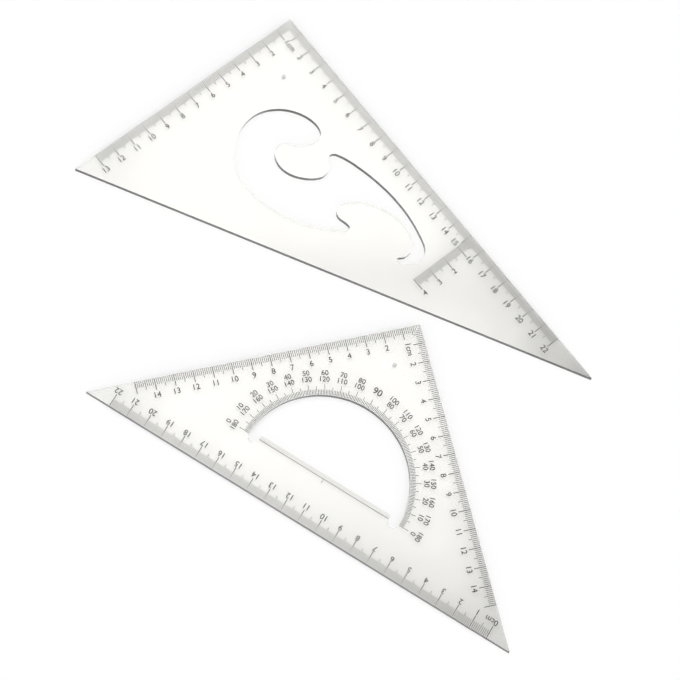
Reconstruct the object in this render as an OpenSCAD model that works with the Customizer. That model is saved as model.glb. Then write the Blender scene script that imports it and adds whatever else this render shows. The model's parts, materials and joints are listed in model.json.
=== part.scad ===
// Matched pair of clear drafting triangles with printed graduations.
// Each plate's own frame has its right-angle corner at the origin and its legs on +X and +Y.

/* [Plates] */
// Long leg of the 30/60 degree triangle
long_leg = 247; // [235:1:270]
// Hypotenuse of the 45 degree triangle
hypotenuse = 247; // [235:1:270]
// Thickness of both plates
thickness = 3; // [2:0.1:4]

/* [French curve cut-out] */
// Length of the cut-out along the long leg
curve_length = 113; // [90:1:118]
// Bar left between the short leg and the cut-out
curve_from_short_leg = 31.5; // [26:0.5:34]
// Bar left between the long leg and the cut-out
curve_from_long_leg = 19.5; // [17:0.5:21]

/* [Protractor window] */
// Radius of the window
window_radius = 44; // [38:0.5:45]
// Height of the 0 to 180 degree line above the hypotenuse
window_base = 26; // [22:0.5:28]
// Width of the bevelled ledge along the straight side of the window
ledge_width = 3; // [2:0.1:4]
// Thickness left at the ledge's thin edge
ledge_land = 0.6; // [0.3:0.1:1.5]
// Radius of the relief at each lower corner of the window
relief_radius = 3; // [2:0.1:4]

/* [Moulding] */
// Radius of the sunk gate mark on each plate
gate_radius = 1.2; // [0.8:0.1:2]
// Depth of the gate mark
gate_depth = 0.3; // [0.1:0.05:0.6]
// Distance from both legs to the gate mark of the 30/60 degree triangle
gate_30_60 = 23.5; // [18:0.5:28]
// Distance from both legs to the gate mark of the 45 degree triangle
gate_45 = 18.5; // [16:0.5:24]

/* [Graduations] */
// Width of a printed line
line_width = 0.24; // [0.15:0.01:0.35]
// Width of a centimetre line
cm_line_width = 0.36; // [0.2:0.01:0.45]
// Thickness of the printed ink
ink = 0.05; // [0.03:0.01:0.1]
// Distance from an edge to the start of its graduations
edge_inset = 0.2; // [0.1:0.05:0.5]
// Length of a millimetre line on the 30/60 degree triangle
tick_30_60 = 4.6; // [3:0.1:5]
// Length of a millimetre line on the legs of the 45 degree triangle
tick_45 = 3.6; // [3:0.1:5]
// Length of a millimetre line on its hypotenuse
tick_hypotenuse = 4.2; // [3:0.1:5]
// Extra length of a half-centimetre or five degree line
half_extra = 1.6; // [0.8:0.1:2]
// Extra length of a centimetre or ten degree line
full_extra = 2.8; // [2.1:0.1:3]
// Room kept free of graduations at the 30 degree tip
tip_room_30 = 25; // [22:0.5:28]
// Room kept free of graduations at the 60 degree tip
tip_room_60 = 12; // [10:0.5:14]
// Room kept free of leg graduations at a 45 degree tip
tip_room_45 = 24; // [20:0.5:26]
// Least room kept at each end of the hypotenuse graduations
hypotenuse_room = 13; // [12:0.5:16]
// Distance from the 30/60 degree corner to the cross scale
cross_scale_at = 150; // [147:1:155]
// Length of the cross scale, from the long leg
cross_scale_length = 40; // [20:10:40]
// Length of a one degree line
degree_tick = 2.8; // [2:0.1:4]
// Length of the mark at the protractor's centre
centre_mark = 2.4; // [1.5:0.1:4]

/* [Layout] */
// Direction of the 30/60 degree triangle's short leg on the table
turn_30_60 = -141.9; // [-180:0.1:180]
// Direction of the 45 degree triangle's left leg on the table
turn_45 = -166.9; // [-180:0.1:-150]
// Gap between the first triangle's hypotenuse and the second one's corner
set_gap = 8; // [3:0.1:20]
// Place of the second triangle's corner along that hypotenuse, from the 60 degree tip
set_along = 193; // [150:1:200]

/* [Hidden] */
$fn = 96;

// Plate edges that follow from the angles
short_leg = long_leg * tan(30);
hypotenuse_30_60 = long_leg / cos(30);
leg_45 = hypotenuse * cos(45);

// Whole graduations that fit between a corner and the room kept at the tip
mm_per_cm = 10;
long_scale_end = floor((long_leg - tip_room_30) / mm_per_cm) * mm_per_cm;
short_scale_end = floor((short_leg - tip_room_60) / mm_per_cm) * mm_per_cm;
leg_scale_end = floor((leg_45 - tip_room_45) / mm_per_cm) * mm_per_cm;
hypotenuse_scale_end = floor((hypotenuse - 2 * hypotenuse_room) / mm_per_cm) * mm_per_cm;
// Room from a line's middle to the end of another row's line
row_gap = 0.75 * cm_line_width;
// The cross scale starts past the long leg's millimetre lines, and its lines beside the longer ones
// end before the next half centimetre
cross_scale_from = ceil(tick_30_60 + row_gap);
cross_beside = tick_30_60 + full_extra;
cross_beside_length = min(tick_30_60, mm_per_cm / 2 - row_gap);
// The window's wall and the start of the degree lines
degree_from = window_radius + edge_inset;
past = 1;
window_overlap = 0.5;

// Knots of the French curve, from its own lower corner: x along the long leg, y along the short leg
curve_knots = [
    [9.5, 52], [1.5, 40], [0, 28], [4.5, 17.5], [13, 10], [22.5, 7], [29, 9], [30, 15.5],
    [25.5, 23], [20.5, 28], [23, 35], [31, 37], [40, 33], [47, 24], [46, 17], [40.5, 13],
    [42, 9], [54.5, 4], [72, 0.5], [87.5, 0], [101, 2], [110.5, 5.5], [113, 11.5],
    [110.5, 18], [105.5, 20.5], [107, 16], [105.5, 10], [95.5, 5.5], [80.5, 8.5],
    [71, 15], [65, 24.5], [68, 30], [77, 29], [77.5, 32], [62.5, 46.5], [45, 55.5],
    [27.5, 58.5], [16, 56],
];
curve_steps = 8;
knot_span = max([for (k = curve_knots) k.x]) - min([for (k = curve_knots) k.x]);
curve_scale = curve_length / knot_span;

// Closed curve through the knots: at each knot it runs parallel to the line between the
// neighbouring knots, and its handles are a third of the span
function unit(v) = v / norm(v);
function bezier(p, q, r, s, t) =
    pow(1 - t, 3) * p + 3 * t * pow(1 - t, 2) * q + 3 * t * t * (1 - t) * r + pow(t, 3) * s;
function knot(k, i) = k[(i + len(k)) % len(k)];
function direction(k, i) = unit(knot(k, i + 1) - knot(k, i - 1));
function handle(k, i) = norm(knot(k, i + 1) - knot(k, i)) / 3;
function smooth_loop(k, steps) = [
    for (i = [0 : len(k) - 1])
        for (j = [0 : steps - 1])
            bezier(
                knot(k, i),
                knot(k, i) + handle(k, i) * direction(k, i),
                knot(k, i + 1) - handle(k, i) * direction(k, i + 1),
                knot(k, i + 1),
                j / steps
            )
];

// Layout: the first plate's corner at zero, then the whole set centred on its own box
function turned(p, a) = [p.x * cos(a) - p.y * sin(a), p.x * sin(a) + p.y * cos(a)];
along_hypotenuse = [-short_leg, long_leg] / hypotenuse_30_60;
off_hypotenuse = [long_leg, short_leg] / hypotenuse_30_60;
second_corner = [short_leg, 0] + set_along * along_hypotenuse + set_gap * off_hypotenuse;
second_from_first = turned(second_corner, turn_30_60);
set_corners = concat(
    [for (p = [[0, 0], [short_leg, 0], [0, long_leg]]) turned(p, turn_30_60)],
    [for (p = [[0, 0], [leg_45, 0], [0, leg_45]]) second_from_first + turned(p, turn_45)]
);
set_low = [min([for (p = set_corners) p.x]), min([for (p = set_corners) p.y])];
set_high = [max([for (p = set_corners) p.x]), max([for (p = set_corners) p.y])];
set_centre = (set_low + set_high) / 2;

module at_30_60() {
    translate(-set_centre) rotate([0, 0, turn_30_60]) children();
}

module at_45() {
    translate(second_from_first - set_centre) rotate([0, 0, turn_45]) children();
}

// Swaps a row that runs along +X with one that runs along +Y
module along_y() {
    mirror([1, -1, 0]) children();
}

// Frame with X along the 45 degree plate's hypotenuse, from its middle, and Y into the plate
module on_hypotenuse() {
    translate([leg_45 / 2, leg_45 / 2]) rotate([0, 0, 135]) children();
}

module printed() {
    color("dimgray") translate([0, 0, thickness]) linear_extrude(ink) children();
}

// Length of the line at i millimetres
function line_length(i, tick) =
    i % mm_per_cm == 0 ? tick + full_extra : i % 5 == 0 ? tick + half_extra : tick;

// The line at i millimetres along +X, drawn along +Y between two depths
module millimetre_line(i, from, to) {
    width = i % mm_per_cm == 0 ? cm_line_width : line_width;
    translate([i - width / 2, from]) square([width, to - from]);
}

// Row of millimetre lines along +X with the plate on its +Y side
module millimetre_row(from, to, tick) {
    for (i = [from : to])
        millimetre_line(i, edge_inset, line_length(i, tick));
}

// The same row from a right-angle corner, with its first lines stopped at the corner's diagonal
module corner_row(to, tick) {
    for (i = [1 : to])
        millimetre_line(i, edge_inset, min(line_length(i, tick), i - row_gap));
}

module french_curve() {
    translate([curve_from_long_leg, curve_from_short_leg])
        along_y()
            scale(curve_scale) polygon(smooth_loop(curve_knots, curve_steps));
}

// Shallow round recess on the bisector of the right angle, open at the top face
module gate_mark(from_legs) {
    translate([from_legs, from_legs, thickness - gate_depth])
        cylinder(r = gate_radius, h = gate_depth + past);
}

module plate_30_60() {
    color([0.86, 0.9, 0.9, 0.5])
        at_30_60()
            difference() {
                linear_extrude(thickness)
                    difference() {
                        polygon([[0, 0], [short_leg, 0], [0, long_leg]]);
                        french_curve();
                    }
                gate_mark(gate_30_60);
            }
}

module long_leg_scale() {
    at_30_60() printed() along_y() corner_row(long_scale_end, tick_30_60);
}

module short_leg_scale() {
    at_30_60() printed() corner_row(short_scale_end, tick_30_60);
}

// Lines square to the long leg's, on the 30 degree tip's side of their centimetre line
module cross_scale() {
    at_30_60()
        printed()
            translate([0, cross_scale_at])
                for (i = [cross_scale_from : cross_scale_length])
                    millimetre_line(
                        i,
                        row_gap,
                        i < cross_beside ? cross_beside_length : line_length(i, tick_30_60)
                    );
}

// Half disc on its straight side, opened below that side at both corners
module window() {
    relief_at = window_radius - relief_radius;
    ledge_half = window_radius - 2 * relief_radius;
    translate([0, window_base]) {
        difference() {
            intersection() {
                circle(window_radius);
                translate([-window_radius, 0]) square([2 * window_radius, window_radius]);
            }
            translate([-ledge_half, -past]) square([2 * ledge_half, ledge_width + past]);
        }
        for (side = [-1, 1])
            translate([side * relief_at, 0]) circle(relief_radius);
    }
}

// Slope from the 0 to 180 degree line down to the ledge's thin edge
module ledge_bevel() {
    ledge_half = window_radius - 2 * relief_radius;
    translate([-ledge_half - window_overlap, window_base, 0])
        rotate([90, 0, 90])
            linear_extrude(2 * (ledge_half + window_overlap))
                polygon([
                    [0, thickness],
                    [ledge_width, ledge_land],
                    [ledge_width + past, ledge_land],
                    [ledge_width + past, thickness + past],
                    [0, thickness + past],
                ]);
}

module plate_45() {
    color([0.86, 0.9, 0.9, 0.5])
        at_45()
            difference() {
                linear_extrude(thickness)
                    difference() {
                        polygon([[0, 0], [leg_45, 0], [0, leg_45]]);
                        on_hypotenuse() window();
                    }
                on_hypotenuse() ledge_bevel();
                gate_mark(gate_45);
            }
}

module left_leg_scale() {
    at_45() printed() corner_row(leg_scale_end, tick_45);
}

module right_leg_scale() {
    at_45() printed() along_y() corner_row(leg_scale_end, tick_45);
}

module hypotenuse_scale() {
    at_45()
        on_hypotenuse()
            printed()
                translate([-hypotenuse_scale_end / 2, 0])
                    millimetre_row(0, hypotenuse_scale_end, tick_hypotenuse);
}

module protractor_scale() {
    at_45()
        on_hypotenuse()
            printed()
                translate([0, window_base])
                    for (a = [0 : 180])
                        rotate(a)
                            translate([degree_from, -line_width / 2])
                                square([line_length(a, degree_tick) - edge_inset, line_width]);
}

module protractor_base_line() {
    ledge_half = window_radius - 2 * relief_radius;
    at_45()
        on_hypotenuse()
            printed()
                translate([0, window_base]) {
                    translate([-ledge_half, -line_width]) square([2 * ledge_half, line_width]);
                    translate([-line_width / 2, -centre_mark]) square([line_width, centre_mark]);
                }
}

plate_30_60();
long_leg_scale();
short_leg_scale();
cross_scale();
plate_45();
left_leg_scale();
right_leg_scale();
hypotenuse_scale();
protractor_scale();
protractor_base_line();
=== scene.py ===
"""The looks of a pair of clear drafting triangles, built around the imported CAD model."""

import json
import math
from collections import namedtuple

import bmesh
import bpy
from mathutils import Matrix, Vector


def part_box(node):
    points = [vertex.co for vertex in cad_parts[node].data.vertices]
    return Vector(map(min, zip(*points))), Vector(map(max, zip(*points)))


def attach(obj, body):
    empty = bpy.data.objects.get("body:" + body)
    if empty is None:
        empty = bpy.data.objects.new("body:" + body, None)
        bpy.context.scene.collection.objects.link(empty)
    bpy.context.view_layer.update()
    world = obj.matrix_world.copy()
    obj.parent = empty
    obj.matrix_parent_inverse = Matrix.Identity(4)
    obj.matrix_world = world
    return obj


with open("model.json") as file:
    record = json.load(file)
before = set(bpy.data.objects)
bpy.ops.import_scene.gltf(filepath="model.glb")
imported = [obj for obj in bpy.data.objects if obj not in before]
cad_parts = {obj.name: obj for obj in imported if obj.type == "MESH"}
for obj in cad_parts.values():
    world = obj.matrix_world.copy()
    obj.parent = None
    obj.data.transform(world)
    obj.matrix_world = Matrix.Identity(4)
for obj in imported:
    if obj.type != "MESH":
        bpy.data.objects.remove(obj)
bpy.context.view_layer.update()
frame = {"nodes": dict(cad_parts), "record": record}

mounts = {mount["name"]: mount for mount in frame["record"]["mounts"]}
scene = bpy.context.scene

BODY_30_60 = "triangle_30_60"
BODY_45 = "triangle_45"
PLATES = ("plate_30_60", "plate_45")
MM = 0.001
CM = 0.01
RIGHT_ANGLE = 90
HALF_TURN = 180
X, Y, Z = range(3)
WHITE = (1, 1, 1, 1)

# camera: angles in degrees, lens and sensor in millimetres, aimed at a point on the printed faces
AIM = Vector((0.0022, -0.0081, 0.003))
DISTANCE = 1.5076
ELEVATION = 70
TURN = -25
ROLL = 25
LENS = 157.1
SENSOR = 36
FARTHEST_VIEW = 100

# floor
FLOOR_SIZE = 30
FLOOR_Z = -0.2 * MM
FLOOR_COLOUR = (0.97, 0.97, 0.97, 1)

# light: places in the sky are X and Y over height, and a fade is a pair, from none to full
FRONT_SKY = 1.305
BACK_SKY = 0.2
SKY_CHANGE = (0.205, 0.005)
LOWEST_SKY = 0.01
PANEL_LEVEL = 3.2
PANELS_ACROSS = ((-0.9, -0.6), (0.225, 0.185))
PANELS_DEEP = (((0.215, 0.295), (0.358, 0.326)), ((0.338, 0.378), (0.82, 0.62)))

# textures: the scale of a noise is per metre, and a spread maps one range of values to another
Noise = namedtuple("Noise", "scale detail")
Spread = namedtuple("Spread", "low high to_low to_high")

# plastic: clear, but for the frosted gate marks, and for the tips, which get painted shade, greyed
# towards their points
PLASTIC_IOR = 1.49
CLEARNESS = 0.985
CLEAR_COLOUR = (0.965, 0.957, 0.93, 1)
# the grey of the frosted gate marks, also used as painted shade on the tips
FROSTED_AND_SHADED_COLOUR = (0.5, 0.5, 0.49, 1)
PASSED_LIGHT = (0.93, 0.93, 0.925, 1)
HAZE = Noise(40, 3)
HAZE_CLOUDINESS = Spread(0.3, 0.7, 0, 0.02)
HAZE_ROUGHNESS = Spread(0.35, 0.7, 0.02, 0.06)
SCRATCHES = Noise(60, 4)
SCRATCH_ROUGHNESS = Spread(0.62, 0.75, 0, 0.06)
SCRATCH_ANGLE = 35
SCRATCH_STRETCH = 40
WAVES = Noise(22, 2)
WAVE_STRENGTH = 0.15
WAVE_HEIGHT = 0.4 * MM

# frosting of the gate marks and painted shade at the tips: each lies inset from two edges, has its full
# share within its core and ends at its reach
GATE_INSET_30_60 = 23.5 * MM
GATE_INSET_45 = 18.5 * MM
GATE_REACH = 1.4 * MM
GATE_CORE = 0.8 * MM
TIP_SHADE_REACH = 46 * MM
FrostingAndTipShade = namedtuple("FrostingAndTipShade", "first_edge second_edge inset reach core share")
FROSTING_AND_TIP_SHADE = (
    FrostingAndTipShade("long_leg_edge", "short_leg_edge", GATE_INSET_30_60, GATE_REACH, GATE_CORE, 1),
    FrostingAndTipShade("left_leg_edge", "right_leg_edge", GATE_INSET_45, GATE_REACH, GATE_CORE, 1),
    # the tips: painted shade, a grey that deepens towards each point
    FrostingAndTipShade("long_leg_edge", "hypotenuse_edge_30_60", 0, TIP_SHADE_REACH, 0, 0.86),
    FrostingAndTipShade("short_leg_edge", "hypotenuse_edge_30_60", 0, TIP_SHADE_REACH, 0, 0.23),
    FrostingAndTipShade("left_leg_edge", "hypotenuse_edge_45", 0, TIP_SHADE_REACH, 0, 0.33),
    FrostingAndTipShade("right_leg_edge", "hypotenuse_edge_45", 0, TIP_SHADE_REACH, 0, 0.42),
)

# ink
INK_DARK = (0.014, 0.014, 0.015, 1)
INK_LIGHT = (0.040, 0.039, 0.038, 1)
INK_GRAIN = Noise(900, 3)
INK_COVER = Spread(0.3, 0.7, 0, 1)
INK_ROUGHNESS = Spread(0.3, 0.7, 0.5, 0.7)
INK_BUMP_STRENGTH = 0.2
INK_BUMP_HEIGHT = 0.02 * MM

# lettering, in font units
STROKE_EXTRA = 0.006
LETTER_THICKNESS = 0.005
CURVE_STEPS = 4

# scales, in centimetres: the first number without a unit, the last of each, and the cross scale's place
FIRST_PLAIN = 2
LONG_LEG_LAST = 22
SHORT_LEG_LAST = 13
CROSS_SCALE_AT = 15
CROSS_SCALE_LAST = 4
LEG_45_LAST = 14
HYPOTENUSE_LAST = 22

# numbers beside the scales
UNIT = "cm"
UNIT_SHIFT = 2 * MM
BESIDE_CROSS_SCALE = 2.3 * MM
NUMBER_HEIGHT = 3 * MM
NUMBER_INSET_30_60 = 9.6 * MM
NUMBER_INSET_45 = 8.9 * MM

# protractor numbers, in rows around a centre on the base line, which lies in from the hypotenuse
DEGREE_STEP = 10
DEGREE_HEIGHT = 2.7 * MM
RIGHT_ANGLE_HEIGHT = 3.6 * MM
PROTRACTOR_BASE = 26 * MM
INNER_ROW = 52.4 * MM
OUTER_ROW = 55.8 * MM
RIGHT_ANGLE_ROW = 54.3 * MM

Edge = namedtuple("Edge", "point normal along")

# a line of numbers has its zero, the way it counts, the way its digits stand and its inset
Line = namedtuple("Line", "start way up inset")


def clockwise(v):
    """The flat vector turned 90 degrees clockwise, seen from above."""
    return Vector((v.y, -v.x))


def edge(name):
    """A ruling edge from its mount: a point on it, its outward normal and the way its numbers read."""
    mount = mounts[name]
    normal = Vector(mount["axis"]).xy.normalized()
    return Edge(Vector(mount["pos_m"]).xy, normal, clockwise(normal))


def meet(first, second):
    """The corner where two edges meet."""
    way = (second.point - first.point).dot(second.normal) / first.along.dot(second.normal)
    return first.point + way * first.along


# node trees

class Shader:
    """The node tree of a material or world, with short ways to add to it."""

    def __init__(self, owner):
        owner.use_nodes = True
        self.tree = owner.node_tree

    def feed(self, node, inputs):
        """Links inputs of a node to the outputs of others, or sets them to plain values."""
        for key, value in inputs.items():
            if isinstance(value, bpy.types.NodeSocket):
                self.tree.links.new(value, node.inputs[key])
            else:
                node.inputs[key].default_value = value

    def add(self, kind, inputs=None, **settings):
        """A new node with its settings and inputs."""
        node = self.tree.nodes.new(kind)
        for key, value in settings.items():
            setattr(node, key, value)
        self.feed(node, inputs or {})
        return node

    def calculate(self, operation, first, second):
        """The result of an operation on two values."""
        node = self.add("ShaderNodeMath", {0: first, 1: second}, operation=operation)
        return node.outputs["Value"]

    def noise(self, place, kind):
        """A noise texture at a place in metres."""
        inputs = {"Vector": place, "Scale": kind.scale, "Detail": kind.detail}
        return self.add("ShaderNodeTexNoise", inputs).outputs["Fac"]

    def spread(self, value, kind):
        """The value mapped from one range to another."""
        inputs = {"Value": value, "From Min": kind.low, "From Max": kind.high,
                  "To Min": kind.to_low, "To Max": kind.to_high}
        return self.add("ShaderNodeMapRange", inputs).outputs["Result"]

    def fade(self, value, ends):
        """A soft change from 0 at the first end to 1 at the second."""
        none, full = ends
        inputs = {"Value": value, "From Min": none, "From Max": full}
        node = self.add("ShaderNodeMapRange", inputs, interpolation_type="SMOOTHSTEP")
        return node.outputs["Result"]

    def mix(self, share, first, second):
        """A colour between two others."""
        node = self.add("ShaderNodeMix", {"Factor": share, "A": first, "B": second}, data_type="RGBA")
        return node.outputs["Result"]

    def bump(self, height, strength, distance):
        """A normal bent by a height texture."""
        inputs = {"Height": height, "Strength": strength, "Distance": distance}
        return self.add("ShaderNodeBump", inputs).outputs["Normal"]


def new_material(name):
    """A fresh material with an empty node tree."""
    material = bpy.data.materials.new(name)
    shader = Shader(material)
    shader.tree.nodes.clear()
    return material, shader


# materials

def with_frosting_and_tip_shade(shader, place, share):
    """Adds to a share the frosting of each gate mark and the painted shade of each tip, by the flat
    distance from its middle.
    """
    flat = shader.add("ShaderNodeVectorMath", {0: place, 1: (1, 1, 0)}, operation="MULTIPLY")
    for greyed_spot in FROSTING_AND_TIP_SHADE:
        first, second = edge(greyed_spot.first_edge), edge(greyed_spot.second_edge)
        middle = meet(first, second) - (first.normal + second.normal) * greyed_spot.inset
        points = {0: flat.outputs["Vector"], 1: (middle.x, middle.y, 0)}
        distance = shader.add("ShaderNodeVectorMath", points, operation="DISTANCE")
        nearness = Spread(greyed_spot.reach, greyed_spot.core, 0, greyed_spot.share)
        share = shader.calculate("ADD", share, shader.spread(distance.outputs["Value"], nearness))
    return share


def worn_roughness(shader, place, haze):
    """Soft handling haze and fine scratches along one direction."""
    stretched = shader.add("ShaderNodeMapping", {
        "Vector": place,
        "Rotation": (0, 0, math.radians(SCRATCH_ANGLE)),
        "Scale": (1, SCRATCH_STRETCH, 1),
    })
    scratches = shader.noise(stretched.outputs["Vector"], SCRATCHES)
    fine = shader.spread(scratches, SCRATCH_ROUGHNESS)
    return shader.calculate("ADD", fine, shader.spread(haze, HAZE_ROUGHNESS))


def passing_light(shader, surface):
    """The surface, made so that rays which light the floor go straight through it."""
    path = shader.add("ShaderNodeLightPath").outputs
    passes = shader.calculate("MAXIMUM", path["Is Shadow Ray"], path["Is Diffuse Ray"])
    through = shader.add("ShaderNodeBsdfTransparent", {"Color": PASSED_LIGHT})
    mixed = shader.add("ShaderNodeMixShader", {"Fac": passes, 1: surface, 2: through.outputs["BSDF"]})
    return mixed.outputs["Shader"]


def clear_plastic():
    """Clear moulded plastic with faint handling haze, fine scratches and a slight waviness."""
    material, shader = new_material("clear_plastic")
    place = shader.add("ShaderNodeTexCoord").outputs["Object"]
    haze = shader.noise(place, HAZE)
    # greys the gate marks as frosting and the tips with painted shade
    frosted_and_shaded = with_frosting_and_tip_shade(shader, place, shader.spread(haze, HAZE_CLOUDINESS))
    body = shader.add("ShaderNodeBsdfPrincipled", {
        "Base Color": shader.mix(frosted_and_shaded, CLEAR_COLOUR, FROSTED_AND_SHADED_COLOUR),
        "Transmission Weight": CLEARNESS,
        "IOR": PLASTIC_IOR,
        "Roughness": worn_roughness(shader, place, haze),
        "Normal": shader.bump(shader.noise(place, WAVES), WAVE_STRENGTH, WAVE_HEIGHT),
    })
    surface = passing_light(shader, body.outputs["BSDF"])
    shader.add("ShaderNodeOutputMaterial", {"Surface": surface})
    return material


def printed_ink():
    """Matt black printing ink, slightly uneven in its cover."""
    material, shader = new_material("ink")
    grain = shader.noise(shader.add("ShaderNodeTexCoord").outputs["Object"], INK_GRAIN)
    body = shader.add("ShaderNodeBsdfPrincipled", {
        "Base Color": shader.mix(shader.spread(grain, INK_COVER), INK_DARK, INK_LIGHT),
        "Roughness": shader.spread(grain, INK_ROUGHNESS),
        "Normal": shader.bump(grain, INK_BUMP_STRENGTH, INK_BUMP_HEIGHT),
    })
    shader.add("ShaderNodeOutputMaterial", {"Surface": body.outputs["BSDF"]})
    return material


def floor_paper():
    """A plain white sheet."""
    material, shader = new_material("floor")
    body = shader.add("ShaderNodeBsdfDiffuse", {"Color": FLOOR_COLOUR})
    shader.add("ShaderNodeOutputMaterial", {"Surface": body.outputs["BSDF"]})
    return material


def dress(piece, material):
    """Puts one material on a piece."""
    piece.data.materials.clear()
    piece.data.materials.append(material)


# numbers

def text_mesh(text):
    """A thin mesh of the text in the built-in font, in font units, lying flat."""
    curve = bpy.data.curves.new("label", "FONT")
    curve.body = text
    curve.bevel_depth = STROKE_EXTRA
    curve.bevel_resolution = 0
    curve.extrude = LETTER_THICKNESS
    curve.resolution_u = CURVE_STEPS
    label = bpy.data.objects.new("label", curve)
    scene.collection.objects.link(label)
    graph = bpy.context.evaluated_depsgraph_get()
    mesh = bpy.data.meshes.new_from_object(label.evaluated_get(graph))
    bpy.data.objects.remove(label)
    bpy.data.curves.remove(curve)
    return mesh


def span(mesh, axis):
    """The lowest and highest place of a mesh along one axis."""
    places = [vertex.co[axis] for vertex in mesh.vertices]
    return min(places), max(places)


def digit_span():
    """The foot and the top of a digit, in font units."""
    mesh = text_mesh("0")
    foot, top = span(mesh, Y)
    bpy.data.meshes.remove(mesh)
    return foot, top


DIGIT_FOOT, DIGIT_TOP = digit_span()


class Numbers:
    """One printed row of numbers, gathered into one piece as thick as the layer of its scale."""

    def __init__(self, name, body, layer):
        self.name = name
        self.body = body
        self.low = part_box(layer)[0].z
        self.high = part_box(layer)[1].z
        self.shape = bmesh.new()

    def put(self, text, middle, up, height):
        """Prints a text with its middle at a flat point and its top towards up."""
        mesh = text_mesh(text)
        left, right = span(mesh, X)
        back, front = span(mesh, Z)
        size = height / (DIGIT_TOP - DIGIT_FOOT)
        along = clockwise(up)
        for vertex in mesh.vertices:
            x = (vertex.co.x - (left + right) / 2) * size
            y = (vertex.co.y - (DIGIT_FOOT + DIGIT_TOP) / 2) * size
            flat = middle + x * along + y * up
            rise = (vertex.co.z - back) / (front - back)
            vertex.co = (flat.x, flat.y, self.low + rise * (self.high - self.low))
        self.shape.from_mesh(mesh)
        bpy.data.meshes.remove(mesh)

    def put_on(self, line, value, text, shift=0):
        """Prints a text at a value of a line, shifted along it."""
        middle = line.start + line.way * (value * CM + shift) - line.up * line.inset
        self.put(text, middle, line.up, NUMBER_HEIGHT)

    def count(self, line, first, last):
        """Prints the whole centimetres from first to last along a line."""
        for value in range(first, last + 1):
            self.put_on(line, value, str(value))

    def finish(self, material):
        """Makes the row a piece that rides with its plate."""
        mesh = bpy.data.meshes.new(self.name)
        self.shape.to_mesh(mesh)
        self.shape.free()
        piece = bpy.data.objects.new(self.name, mesh)
        scene.collection.objects.link(piece)
        dress(piece, material)
        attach(piece, self.body)


def numbers_30_60(material):
    """The three rows of the 30/60 degree plate."""
    long_leg, short_leg = edge("long_leg_edge"), edge("short_leg_edge")
    corner = meet(long_leg, short_leg)
    crossing = corner + long_leg.along * CROSS_SCALE_AT * CM
    inset = NUMBER_INSET_30_60

    line = Line(corner, long_leg.along, long_leg.normal, inset)
    row = Numbers("long_leg_numbers", BODY_30_60, "long_leg_scale")
    row.count(line, FIRST_PLAIN, CROSS_SCALE_AT - 1)
    row.count(line, CROSS_SCALE_AT + 1, LONG_LEG_LAST)
    row.put_on(line, 1, "1" + UNIT, UNIT_SHIFT)
    row.put_on(line, CROSS_SCALE_AT, str(CROSS_SCALE_AT), -BESIDE_CROSS_SCALE)
    row.finish(material)

    line = Line(corner, -short_leg.along, short_leg.normal, inset)
    row = Numbers("short_leg_numbers", BODY_30_60, "short_leg_scale")
    row.count(line, FIRST_PLAIN, SHORT_LEG_LAST)
    row.finish(material)

    line = Line(crossing, -long_leg.normal, -long_leg.along, inset)
    row = Numbers("cross_numbers", BODY_30_60, "cross_scale")
    row.count(line, FIRST_PLAIN, CROSS_SCALE_LAST)
    row.finish(material)


def numbers_45(material):
    """The three straight rows of the 45 degree plate, with the longest one centred on its edge."""
    left_leg, right_leg = edge("left_leg_edge"), edge("right_leg_edge")
    hypotenuse = edge("hypotenuse_edge_45")
    corner = meet(left_leg, right_leg)
    inset = NUMBER_INSET_45

    line = Line(corner, -left_leg.along, left_leg.normal, inset)
    row = Numbers("left_leg_numbers", BODY_45, "left_leg_scale")
    row.count(line, FIRST_PLAIN, LEG_45_LAST)
    row.finish(material)

    line = Line(corner, right_leg.along, right_leg.normal, inset)
    row = Numbers("right_leg_numbers", BODY_45, "right_leg_scale")
    row.count(line, FIRST_PLAIN, LEG_45_LAST)
    row.put_on(line, 1, "1" + UNIT, UNIT_SHIFT)
    row.finish(material)

    start = hypotenuse.point - hypotenuse.along * HYPOTENUSE_LAST * CM / 2
    line = Line(start, hypotenuse.along, hypotenuse.normal, inset)
    row = Numbers("hypotenuse_numbers", BODY_45, "hypotenuse_scale")
    row.count(line, 1, HYPOTENUSE_LAST)
    row.put_on(line, 0, "0" + UNIT, UNIT_SHIFT)
    row.finish(material)


def protractor_numbers(material):
    """Two rows of degrees that count opposite ways, with one larger 90 between them."""
    hypotenuse = edge("hypotenuse_edge_45")
    centre = hypotenuse.point - hypotenuse.normal * PROTRACTOR_BASE
    row = Numbers("protractor_numbers", BODY_45, "protractor_scale")
    for angle in range(0, HALF_TURN + 1, DEGREE_STEP):
        out = Matrix.Rotation(math.radians(angle), 2) @ -hypotenuse.along
        if angle == RIGHT_ANGLE:
            row.put(str(angle), centre + out * RIGHT_ANGLE_ROW, out, RIGHT_ANGLE_HEIGHT)
        else:
            row.put(str(angle), centre + out * INNER_ROW, out, DEGREE_HEIGHT)
            row.put(str(HALF_TURN - angle), centre + out * OUTER_ROW, out, DEGREE_HEIGHT)
    row.finish(material)


# floor, light and camera

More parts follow.
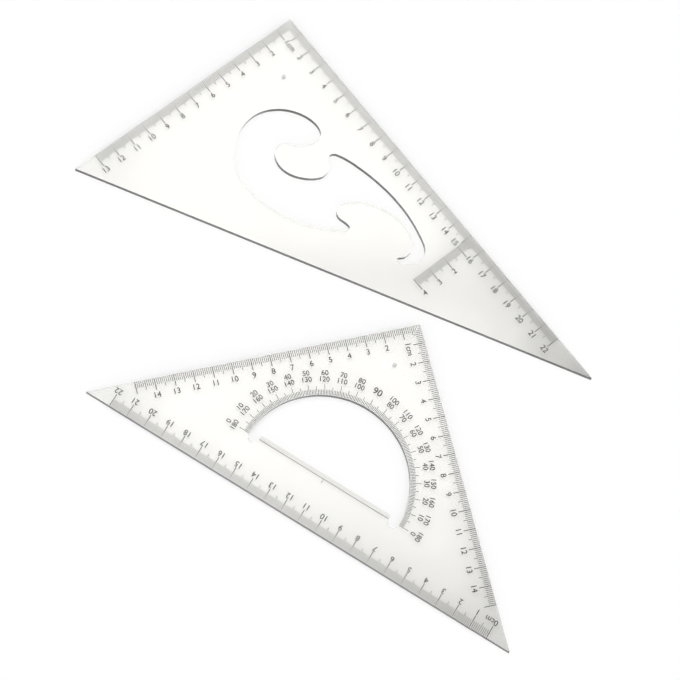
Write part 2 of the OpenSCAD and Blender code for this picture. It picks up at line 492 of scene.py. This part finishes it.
def make_floor():
    """A large white floor just below the plates."""
    bpy.ops.mesh.primitive_plane_add(size=FLOOR_SIZE, location=(0, 0, FLOOR_Z))
    floor = bpy.context.object
    floor.name = "floor"
    dress(floor, floor_paper())


def make_light():
    """A white sky, dim at the back but for two soft panels, one behind the other."""
    world = bpy.data.worlds.new("studio")
    scene.world = world
    shader = Shader(world)
    direction = shader.add("ShaderNodeTexCoord").outputs["Generated"]
    parts = shader.add("ShaderNodeSeparateXYZ", {"Vector": direction}).outputs
    height = shader.calculate("MAXIMUM", parts["Z"], LOWEST_SKY)
    across = shader.calculate("DIVIDE", parts["X"], height)
    deep = shader.calculate("DIVIDE", parts["Y"], height)
    front = shader.calculate("MULTIPLY", shader.fade(deep, SKY_CHANGE), FRONT_SKY - BACK_SKY)
    sky = shader.calculate("ADD", front, BACK_SKY)
    for panel_deep in PANELS_DEEP:
        panel = PANEL_LEVEL
        for ends in PANELS_ACROSS:
            panel = shader.calculate("MULTIPLY", shader.fade(across, ends), panel)
        for ends in panel_deep:
            panel = shader.calculate("MULTIPLY", shader.fade(deep, ends), panel)
        sky = shader.calculate("ADD", sky, panel)
    shader.feed(shader.tree.nodes["Background"], {"Color": WHITE, "Strength": sky})


def make_camera():
    """A long lens, turned to the left and rolled back so that the picture stays upright."""
    data = bpy.data.cameras.new("camera")
    data.lens = LENS
    data.sensor_width = SENSOR
    data.clip_end = FARTHEST_VIEW
    turned = Matrix.Identity(4)
    for angle, axis in ((TURN, "Z"), (RIGHT_ANGLE - ELEVATION, "X"), (ROLL, "Z")):
        turned = turned @ Matrix.Rotation(math.radians(angle), 4, axis)
    back = turned.to_3x3() @ Vector((0, 0, 1))
    camera = bpy.data.objects.new("camera", data)
    camera.matrix_world = Matrix.Translation(AIM + back * DISTANCE) @ turned
    scene.collection.objects.link(camera)
    scene.camera = camera


plastic = clear_plastic()
ink = printed_ink()
for name, node in frame["nodes"].items():
    dress(node, plastic if name in PLATES else ink)
numbers_30_60(ink)
numbers_45(ink)
protractor_numbers(ink)

make_floor()
make_light()
make_camera()
scene.view_settings.view_transform = "Standard"
